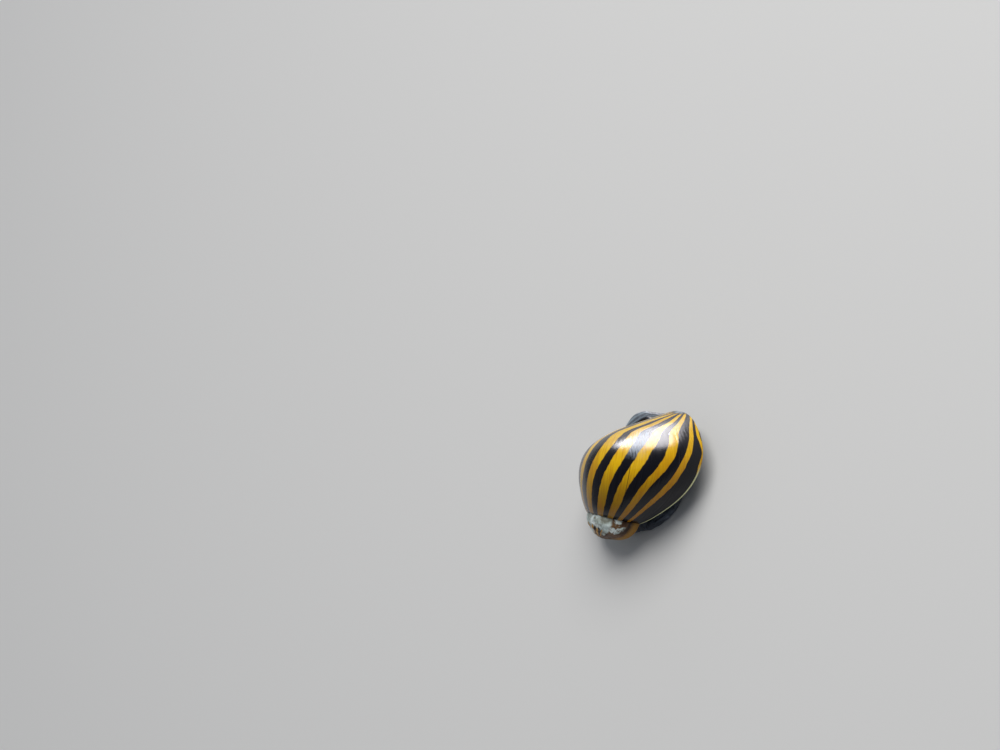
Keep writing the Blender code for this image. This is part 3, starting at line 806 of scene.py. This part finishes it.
def lid():
    """The horny lid: a D-shaped plate whose growth arcs lie round a nucleus near one end."""
    outline = np.array(lid_ring(1.0, 0.0, 120))[:, :2] - LID_CENTRE
    low, high = (np.array(corner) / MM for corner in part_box("operculum"))
    nucleus = np.array(LID_NUCLEUS)
    layers = [(0.93, low[2]), (0.985, low[2] + 0.06), (1.0, low[2] + 0.16), (1.0, high[2] - 0.2)]
    layers += [(0.99 - 0.99 * (k / 60), None) for k in range(60)]
    rings = []
    for share, z in layers:
        flat = nucleus + (outline - nucleus) * share
        if z is None:
            arcs = 0.5 + 0.5 * np.sin(share * 62)
            rests = max(math.exp(-((share - at) / 0.012) ** 2) for at in LID_RESTS)
            dip = math.exp(-(share / 0.12) ** 2)
            z = high[2] - 0.14 * share ** 3 - 0.022 * arcs - 0.05 * rests - 0.05 * dip
        rings.append([(LID_CENTRE[0] + px, LID_CENTRE[1] + py, z) for px, py in flat])
    return make_mesh("horny_lid", *loft_points(rings))


# Materials: heights and distances are metres here, as the shaders read them

# A colour, or stops of colours along a noise
GOLD = ((0.28, (0.66, 0.3, 0.002)), (0.46, (0.84, 0.49, 0.002)), (0.66, (0.95, 0.64, 0.006)))
# Gold towards the suture: partly the shell's own darker colour, partly painted shade.
GOLD_OCHRE_AND_SHADE = ((0.28, (0.15, 0.05, 0.001)), (0.46, (0.24, 0.1, 0.001)), (0.68, (0.35, 0.17, 0.001)))
# Deeper orange for the gold near the lip on the lower side.
GOLD_BY_LIP = (0.36, 0.12, 0.001)
GOLD_CLOUD = (0.5, 0.2, 0.004)
GOLD_STREAK = (0.45, 0.17, 0.004)
BLACK = ((0.35, (0.002, 0.002, 0.004)), (0.78, (0.008, 0.008, 0.013)))
REST_LINE = (0.03, 0.014, 0.003)
# Bluish-white of the scratched patch: real scratches with a painted highlight reflection.
SCUFF_AND_SHEEN = (0.4, 0.49, 0.6)
CHIP = (0.62, 0.7, 0.8)
LIP_LINE = (0.74, 0.75, 0.4)
CALLUS = ((0.35, (0.24, 0.3, 0.38)), (0.62, (0.62, 0.67, 0.7)))
SHELL_INSIDE = (0.66, 0.67, 0.56)
CAP_BROWN = ((0.32, (0.02, 0.008, 0.003)), (0.46, (0.085, 0.034, 0.01)), (0.56, (0.155, 0.074, 0.022)),
             (0.7, (0.28, 0.2, 0.12)))
CAP_CHALK = ((0.34, (0.24, 0.25, 0.2)), (0.5, (0.56, 0.65, 0.61)), (0.66, (0.86, 0.94, 0.91)))
CAP_BLACK = (0.006, 0.006, 0.008)
CAP_GOLD = (0.66, 0.32, 0.02)
CAP_EDGE = (0.4, 0.2, 0.025)
CAP_SPECK = (0.16, 0.09, 0.04)
SKIN = ((0.36, (0.01, 0.012, 0.018)), (0.52, (0.028, 0.034, 0.048)), (0.66, (0.085, 0.1, 0.13)),
        (0.78, (0.17, 0.2, 0.23)))
SKIN_STREAK = (0.26, 0.32, 0.39)
# Lighter lobe whose pale streaks are a painted wet highlight.
SKIN_LOBE_SHEEN = (0.3, 0.39, 0.45)
SKIN_RAY = (0.13, 0.16, 0.2)
SKIN_DOT = (0.18, 0.21, 0.25)
SOLE_RIM = (0.11, 0.11, 0.11)
SOLE_MIDDLE = (0.42, 0.37, 0.27)
SOLE_MOTTLE = (0.2, 0.18, 0.15)
PORCELAIN = ((0.35, (0.74, 0.62, 0.36)), (0.6, (0.84, 0.8, 0.66)))
HORN = ((0.35, (0.035, 0.022, 0.016)), (0.5, (0.17, 0.085, 0.04)), (0.68, (0.36, 0.24, 0.14)))
HORN_GREY = ((0.35, (0.1, 0.1, 0.11)), (0.66, (0.38, 0.37, 0.36)))
EYE_BLACK = ((0.4, (0.002, 0.002, 0.003)), (0.7, (0.012, 0.012, 0.016)))

CHIP_FLATNESS = 0.28
CHIP_PLACE = (0.39, -1.52 * CHIP_FLATNESS, 0)
ABOVE_ZERO = 20.0


def new_material(name):
    made = bpy.data.materials.new(name)
    made.use_nodes = True
    return made, made.node_tree.nodes["Principled BSDF"]


def feed(made, inputs):
    """Link inputs of a node to sockets, or set them to numbers, vectors or colours."""
    for name, value in inputs.items():
        socket = made.inputs[name]
        if isinstance(value, bpy.types.NodeSocket):
            made.id_data.links.new(value, socket)
        elif socket.type == "RGBA":
            socket.default_value = (*value, 1.0)
        else:
            socket.default_value = value


def node(near, kind, inputs, **settings):
    """A new node in the tree that holds another node or socket."""
    made = arrange(near.id_data.nodes.new(kind), **settings)
    feed(made, inputs)
    return made


def math_node(operation, *values, clamp=False):
    near = next(value for value in values if isinstance(value, bpy.types.NodeSocket))
    inputs = dict(enumerate(values))
    return node(near, "ShaderNodeMath", inputs, operation=operation, use_clamp=clamp).outputs[0]


def scaled(value, factor, shift, clamp=False):
    return math_node("MULTIPLY_ADD", value, factor, shift, clamp=clamp)


def vector_node(operation, vector, other=(0, 0, 0)):
    """Both outputs of a vector calculation: the vector and the single value."""
    return node(vector, "ShaderNodeVectorMath", {0: vector, 1: other}, operation=operation).outputs


def distance_node(vector, place):
    """Distance in metres from a place given in millimetres."""
    return vector_node("DISTANCE", vector, [c * MM for c in place])["Value"]


def split(vector):
    return node(vector, "ShaderNodeSeparateXYZ", {0: vector}).outputs


def object_spot(near):
    return node(near, "ShaderNodeTexCoord", {}).outputs["Object"]


def number_input(near, name):
    """A number that add_number gave to the points."""
    return node(near, "ShaderNodeAttribute", {}, attribute_name=name).outputs["Fac"]


def growth_inputs(near):
    """Growth back from the lip, and the angle or share along the section."""
    return split(node(near, "ShaderNodeUVMap", {}, uv_map="growth").outputs["UV"])[:2]


def noise_node(vector, scale, detail, roughness, distortion=0.0):
    inputs = {"Vector": vector, "Scale": scale, "Detail": detail, "Roughness": roughness}
    return node(vector, "ShaderNodeTexNoise", {**inputs, "Distortion": distortion}).outputs["Fac"]


def combine(parts):
    """A vector of two or three values, each times its own scale."""
    inputs = dict(enumerate(product(*part) for part in parts))
    return node(parts[0][0], "ShaderNodeCombineXYZ", inputs).outputs[0]


def grain(parts, detail, roughness, distortion=0.0):
    """Noise over values in place of a position."""
    return noise_node(combine(parts), 1.0, detail, roughness, distortion)


def ramp_node(value, stops):
    made = node(value, "ShaderNodeValToRGB", {"Fac": value})
    elements = made.color_ramp.elements
    while len(elements) < len(stops):
        elements.new(0.5)
    for element, (position, colour) in zip(elements, stops):
        element.position = position
        element.color = (*colour, 1.0)
    return made.outputs["Color"]


def tint(colour, other, share, strength=None):
    """A colour with another one over it, by a share times a strength."""
    if strength:
        share = product(share, strength)
    return node(share, "ShaderNodeMix", {0: share, 6: colour, 7: other}, data_type="RGBA").outputs[2]


def bump(height, strength, distance):
    inputs = {"Height": height, "Strength": strength, "Distance": distance}
    return node(height, "ShaderNodeBump", inputs).outputs["Normal"]


def product(*values):
    total = values[0]
    for value in values[1:]:
        total = math_node("MULTIPLY", total, value)
    return total


def about_zero(value, width):
    """A noise value turned into a shift to either side of zero."""
    return scaled(value, width, -width / 2)


def opposite(value):
    return math_node("SUBTRACT", 1.0, value)


def step_up(value, edge, softness):
    """0 below an edge, 1 above it, with a soft change."""
    return scaled(value, 1 / softness, 0.5 - edge / softness, clamp=True)


def step_down(value, edge, softness):
    """1 below an edge, 0 above it, with a soft change."""
    return opposite(step_up(value, edge, softness))


def span(value, low, high, softness):
    """1 between two edges and 0 outside them."""
    rise = step_up(value, low, softness)
    return math_node("SUBTRACT", rise, step_up(value, high, softness), clamp=True)


def gold_bands(line_place, along, wobble):
    """1 on the golden bands and 0 on the black ones, with uneven edges."""
    jag = grain(((line_place, 34), (along, 6)), 2, 0.5)
    phase = math_node("ADD", number_input(line_place, "stripe"), about_zero(wobble, 0.09))
    phase = math_node("ADD", phase, about_zero(jag, 0.07))
    part = math_node("FRACT", math_node("ADD", phase, ABOVE_ZERO))
    return span(part, 0.015, 0.485, 0.035)


def gold_colour(growth, along, line_place, lines, cloud):
    """Gold with growth lines, browner towards the suture (partly its own colour, partly painted shade),
    deeper orange towards the lip on the lower side, with clouds and streaks.
    """
    bright, ochre_and_shade = ramp_node(lines, GOLD), ramp_node(lines, GOLD_OCHRE_AND_SHADE)
    # Browner towards the suture: partly real colour, partly painted shade.
    yellow = tint(bright, ochre_and_shade, step_up(along, -0.42, 1.3), 0.9)
    # Deeper orange near the lip on the lower side.
    by_lip = product(step_down(growth, 0.5, 0.6), step_up(along, -1.1, 0.8))
    yellow = tint(yellow, GOLD_BY_LIP, by_lip, 0.65)
    yellow = tint(yellow, GOLD_CLOUD, scaled(cloud, 2.2, -0.95, clamp=True), 0.6)
    broad = grain(((line_place, 16), (along, 0.8)), 2, 0.5)
    return tint(yellow, GOLD_STREAK, step_up(broad, 0.6, 0.1), 0.35)


def scuffs_and_sheen(growth, along, line_place, gold):
    """Share of the scratched patch, fainter on the golden bands; its bluish-white is partly a painted
    highlight reflection.
    """
    scratch = step_up(grain(((line_place, 46), (along, 9)), 4, 0.6), 0.46, 0.26)
    patch = product(span(growth, 0.66, 0.93, 0.1), span(along, -1.66, -1.0, 0.22))
    return product(patch, scratch, opposite(product(gold, 0.7)))


def shell_material():
    made, shader = new_material("shell_stripes")
    growth, along = growth_inputs(shader)
    spot = object_spot(shader)
    line_place = scaled(along, LINE_LEAN, growth)
    lines = grain(((line_place, 95), (along, 1.2)), 3, 0.6)
    wobble = grain(((growth, 4), (along, 7)), 3, 0.55)
    cloud = noise_node(spot, 320, 3, 0.55)
    from_focus = scaled(wobble, 0.0014, distance_node(spot, FOCUS))
    past_callus = step_up(from_focus, (CALLUS_RADIUS + 1.1) * MM, 0.0007)
    gold = product(gold_bands(line_place, along, wobble), past_callus)
    yellow = gold_colour(growth, along, line_place, lines, cloud)
    colour = tint(ramp_node(lines, BLACK), yellow, gold)
    rest = product(span(line_place, 0.714, 0.722, 0.006), span(along, -0.9, -0.15, 0.06))
    colour = tint(colour, REST_LINE, rest, 0.75)
    worn = scuffs_and_sheen(growth, along, line_place, gold)
    # Scratched patch in bluish-white: real scratches, painted highlight reflection.
    colour = tint(colour, SCUFF_AND_SHEEN, worn, 0.75)
    from_chip = vector_node("DISTANCE", combine(((growth, 1.0), (along, CHIP_FLATNESS))), CHIP_PLACE)["Value"]
    colour = tint(colour, CHIP, step_down(from_chip, 0.007, 0.005), 0.8)
    lip = product(step_down(growth, 0.016, 0.012), step_up(along, -0.85, 0.2))
    colour = tint(colour, LIP_LINE, lip)
    callus = step_down(from_focus, (CALLUS_RADIUS + 0.7) * MM, 0.0006)
    colour = tint(colour, ramp_node(cloud, CALLUS), callus, 0.92)
    colour = tint(colour, SHELL_INSIDE, step_up(number_input(lines, "inside"), 0.45, 0.2))
    feed(shader, {
        "Base Color": colour, "Roughness": scaled(worn, 0.25, scaled(lines, 0.18, 0.13)),
        "Coat Weight": 0.14, "Coat Roughness": 0.22, "Specular IOR Level": 0.2,
        "Normal": bump(lines, 0.25, 0.00003)})
    return made


def chalk(growth, share, at, blotch):
    """Share of chalk: patches along the suture, one whole band, and scaled-off spots further back."""
    ribs = grain(((growth, 14), (share, 1.5)), 3, 0.6)
    near_suture = step_up(math_node("ADD", share, about_zero(ribs, 0.42)), 0.79, 0.06)
    patchy = math_node("ADD", step_up(at, 0.8, 0.1), step_up(blotch, 0.5, 0.05), clamp=True)
    patches = product(near_suture, product(patchy, step_up(at, 0.3, 0.15)))
    band = product(span(at, 0.72, 0.92, 0.05), step_up(share, 0.55, 0.12))
    scaled_off = product(step_up(at, 1.55, 0.25), step_up(blotch, 0.49, 0.06))
    return math_node("MAXIMUM", math_node("MAXIMUM", patches, band), scaled_off)


def spire_material():
    """Chalk and brown over what is left of the old stripes."""
    made, shader = new_material("shell_worn")
    growth, share = growth_inputs(shader)
    spot = object_spot(shader)
    coarse = noise_node(spot, 420, 5, 0.62, 0.4)
    blotch = noise_node(spot, 800, 4, 0.6)
    fine = noise_node(spot, 1500, 4, 0.6)
    at = math_node("ADD", growth, about_zero(coarse, 0.16))
    wave = math_node("FRACT", scaled(at, 2.9, 0.95))
    striped = tint(CAP_BLACK, CAP_GOLD, span(wave, 0.3, 0.76, 0.08))
    colour = tint(ramp_node(coarse, CAP_BROWN), striped, step_up(at, 0.9, 0.05))
    white = chalk(growth, share, at, blotch)
    mixed = scaled(blotch, 0.8, math_node("SUBTRACT", coarse, 0.4))
    colour = tint(colour, ramp_node(mixed, CAP_CHALK), white)
    edge = product(step_down(growth, 0.16, 0.1), step_up(share, 0.45, 0.3))
    colour = tint(colour, CAP_EDGE, edge, 0.8)
    colour = tint(colour, CAP_SPECK, step_up(fine, 0.6, 0.08), 0.55)
    lumps = scaled(product(white, blotch), 2.2, fine)
    feed(shader, {
        "Base Color": colour, "Roughness": 0.5, "Coat Weight": 0.08, "Coat Roughness": 0.3,
        "Specular IOR Level": 0.28, "Normal": bump(lumps, 0.6, 0.00007)})
    return made


def skin_material():
    """Slate skin with pale streaks, dots, a lighter lobe with painted wet highlight streaks, and a buff sole.
    """
    made, shader = new_material("wet_skin")
    spot = object_spot(shader)
    height = split(spot)[2]
    flat = vector_node("MULTIPLY", spot, (1, 1, 0))[0]
    reach = vector_node("LENGTH", flat)["Value"]
    way_x, way_y = split(vector_node("NORMALIZE", flat)[0])[:2]
    streak = grain(((way_x, 2.6), (way_y, 2.6), (reach, 2100)), 4, 0.6, 0.5)
    ray = grain(((way_x, 26), (way_y, 26), (reach, 260)), 3, 0.6)
    mottle = noise_node(spot, 900, 5, 0.62, 0.4)
    fine = noise_node(spot, 3200, 3, 0.6)
    on_foot = step_down(height, 0.0013, 0.0004)
    streaks = product(step_up(streak, 0.6, 0.16), on_foot, 0.55)
    colour = tint(ramp_node(mottle, SKIN), SKIN_STREAK, streaks)
    # The front corner lobe: lighter, with pale streaks painted as a wet highlight.
    by_lobe = step_down(distance_node(spot, LOBE_PLACE), 0.0034, 0.003)
    pale = scaled(step_up(streak, 0.5, 0.2), 0.62, 0.12)
    colour = tint(colour, SKIN_LOBE_SHEEN, product(by_lobe, on_foot, pale))
    by_edge = step_down(height, 0.0009, 0.0004)
    colour = tint(colour, SKIN_RAY, product(by_edge, step_up(ray, 0.52, 0.3), 0.35))
    warts = node(spot, "ShaderNodeTexVoronoi", {"Vector": spot, "Scale": 4200}, feature="F1")
    dots = step_down(warts.outputs["Distance"], 0.3, 0.3)
    colour = tint(colour, SKIN_DOT, product(dots, step_up(mottle, 0.45, 0.2), 0.3))
    sole = tint(SOLE_RIM, SOLE_MIDDLE, step_down(reach, 0.0068, 0.0018))
    sole = tint(sole, SOLE_MOTTLE, step_up(mottle, 0.55, 0.3), 0.5)
    colour = tint(colour, sole, step_down(height, 0.00012, 0.0001))
    feed(shader, {
        "Base Color": colour, "Roughness": scaled(fine, 0.22, 0.34),
        "Coat Weight": 0.16, "Coat Roughness": 0.3, "Specular IOR Level": 0.26,
        "Subsurface Weight": 0.08, "Subsurface Radius": (0.0006, 0.0004, 0.0003),
        "Normal": bump(fine, 0.35, 0.00004)})
    return made


def deck_material():
    made, shader = new_material("porcelain_deck")
    cloud = noise_node(object_spot(shader), 300, 4, 0.5)
    colour = ramp_node(cloud, PORCELAIN)
    feed(shader, {"Base Color": colour, "Roughness": 0.22, "Normal": bump(cloud, 0.2, 0.00003)})
    return made


def lid_material():
    """Horn with growth arcs, greyer round the nucleus."""
    made, shader = new_material("lid_horn")
    spot = object_spot(shader)
    nucleus = (LID_CENTRE[0] + LID_NUCLEUS[0], LID_CENTRE[1] + LID_NUCLEUS[1], LID_LEVEL)
    reach = distance_node(spot, nucleus)
    cloud = noise_node(spot, 500, 4, 0.6)
    arcs = grain(((reach, 9000), (cloud, 1.5)), 3, 0.6)
    far = step_up(reach, 0.0034, 0.0012)
    colour = tint(ramp_node(arcs, HORN_GREY), ramp_node(arcs, HORN), far)
    normal = bump(arcs, 0.3, 0.00003)
    feed(shader, {"Base Color": colour, "Roughness": 0.3, "Coat Weight": 0.3, "Normal": normal})
    return made


def eye_material():
    made, shader = new_material("eye_black")
    cloud = noise_node(object_spot(shader), 3000, 2, 0.5)
    feed(shader, {"Base Color": ramp_node(cloud, EYE_BLACK), "Roughness": 0.05, "Coat Weight": 1.0})
    return made


def dress(made, finish, slot, *nodes):
    made.data.materials.clear()
    made.data.materials.append(finish)
    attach(made, "root")
    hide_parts(*nodes)
    return made


# Studio and camera

VIEW_RIGHT = Vector((-0.6298, -0.4117, -0.6586))
TO_VIEWER = Vector((-0.7535, 0.1179, 0.6468))
IMAGE_WIDTH, IMAGE_HEIGHT = 1000, 750
LENS, SENSOR = 100.0, 36.0
CAMERA_DISTANCE = 370.6
AIM_POINT = Vector((-1.5, 1.5, 6.5))
AIM_PIXEL = (622.07, 468.01)
FLOOR_HALF = 900
SNAIL_MIDDLE = Vector((-1.5, 0.5, 5.0))
GLOSS_WAY, GLOSS_DISTANCE, GLOSS_SIZE = (0.47, -0.85, 0.22), 700, (700, 310)
KEY_WAY, KEY_DISTANCE, KEY_SIZE = (-0.1, -0.56, 0.82), 600, (600, 600)


def studio_floor():
    """A pale matt floor."""
    corners = [(x * FLOOR_HALF, y * FLOOR_HALF, 0) for x, y in ((-1, -1), (1, -1), (1, 1), (-1, 1))]
    made = make_mesh("floor", corners, [(0, 1, 2, 3)])
    finish, shader = new_material("floor_pale")
    feed(shader, {"Base Color": (0.72, 0.72, 0.71), "Roughness": 0.9, "Specular IOR Level": 0.15})
    made.data.materials.append(finish)


def area_light(name, way, distance, size, power, colour):
    """A rounded light at a distance from the snail, turned to it."""
    light = bpy.data.lights.new(name, "AREA")
    arrange(light, shape="ELLIPSE", size=size[0] * MM, size_y=size[1] * MM, energy=power, color=colour)
    place = SNAIL_MIDDLE + Vector(way).normalized() * distance
    turn = (SNAIL_MIDDLE - place).to_track_quat("-Z", "Y")
    made = arrange(add_object(name, light), location=place * MM, visible_camera=False)
    return arrange(made, rotation_mode="QUATERNION", rotation_quaternion=turn)


def studio():
    studio_floor()
    scene = bpy.context.scene
    scene.view_settings.view_transform = "Standard"
    world = bpy.data.worlds.new("studio")
    scene.world = world
    world.use_nodes = True
    feed(world.node_tree.nodes["Background"], {"Color": (0.84, 0.89, 1.0), "Strength": 0.22})
    gloss = area_light("gloss", GLOSS_WAY, GLOSS_DISTANCE, GLOSS_SIZE, 10.5, (0.98, 0.95, 1.0))
    gloss.visible_diffuse = False
    key = area_light("key", KEY_WAY, KEY_DISTANCE, KEY_SIZE, 3.3, (1.0, 0.985, 0.96))
    key.visible_glossy = False


def camera():
    lens = bpy.data.cameras.new("camera")
    arrange(lens, lens=LENS, sensor_width=SENSOR, clip_start=0.01, clip_end=10)
    made = add_object("camera", lens)
    back = TO_VIEWER.normalized()
    right = (VIEW_RIGHT - back * VIEW_RIGHT.dot(back)).normalized()
    up = back.cross(right)
    basis = Matrix((right, up, back)).transposed()
    across, rise = AIM_PIXEL[0] - IMAGE_WIDTH / 2, IMAGE_HEIGHT / 2 - AIM_PIXEL[1]
    ray = Vector((across, rise, -LENS / SENSOR * IMAGE_WIDTH)).normalized()
    turn = ray.rotation_difference(Vector((0, 0, -1))).to_matrix()
    made.matrix_world = (basis @ turn).to_4x4()
    made.location = (AIM_POINT + back * CAMERA_DISTANCE) * MM
    bpy.context.scene.camera = made


def build():
    camera()
    studio()
    shell = dress(shell_body(), shell_material(), "shell_striped", "shell_body_whorl")
    dress(spire(), spire_material(), "shell_eroded", "shell_spire")
    dress(skin(shell), skin_material(), "skin", "foot", "body_stalk", "mantle", "head",
          "feeler_left", "feeler_right", "eye_stalk_left", "eye_stalk_right")
    dress(deck(shell), deck_material(), "shell_inner", "columellar_deck")
    dress(lid(), lid_material(), "operculum_lid", "operculum")
    eye = eye_material()
    for name in ("eye_left", "eye_right"):
        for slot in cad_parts[name].material_slots:
            slot.material = eye


build()
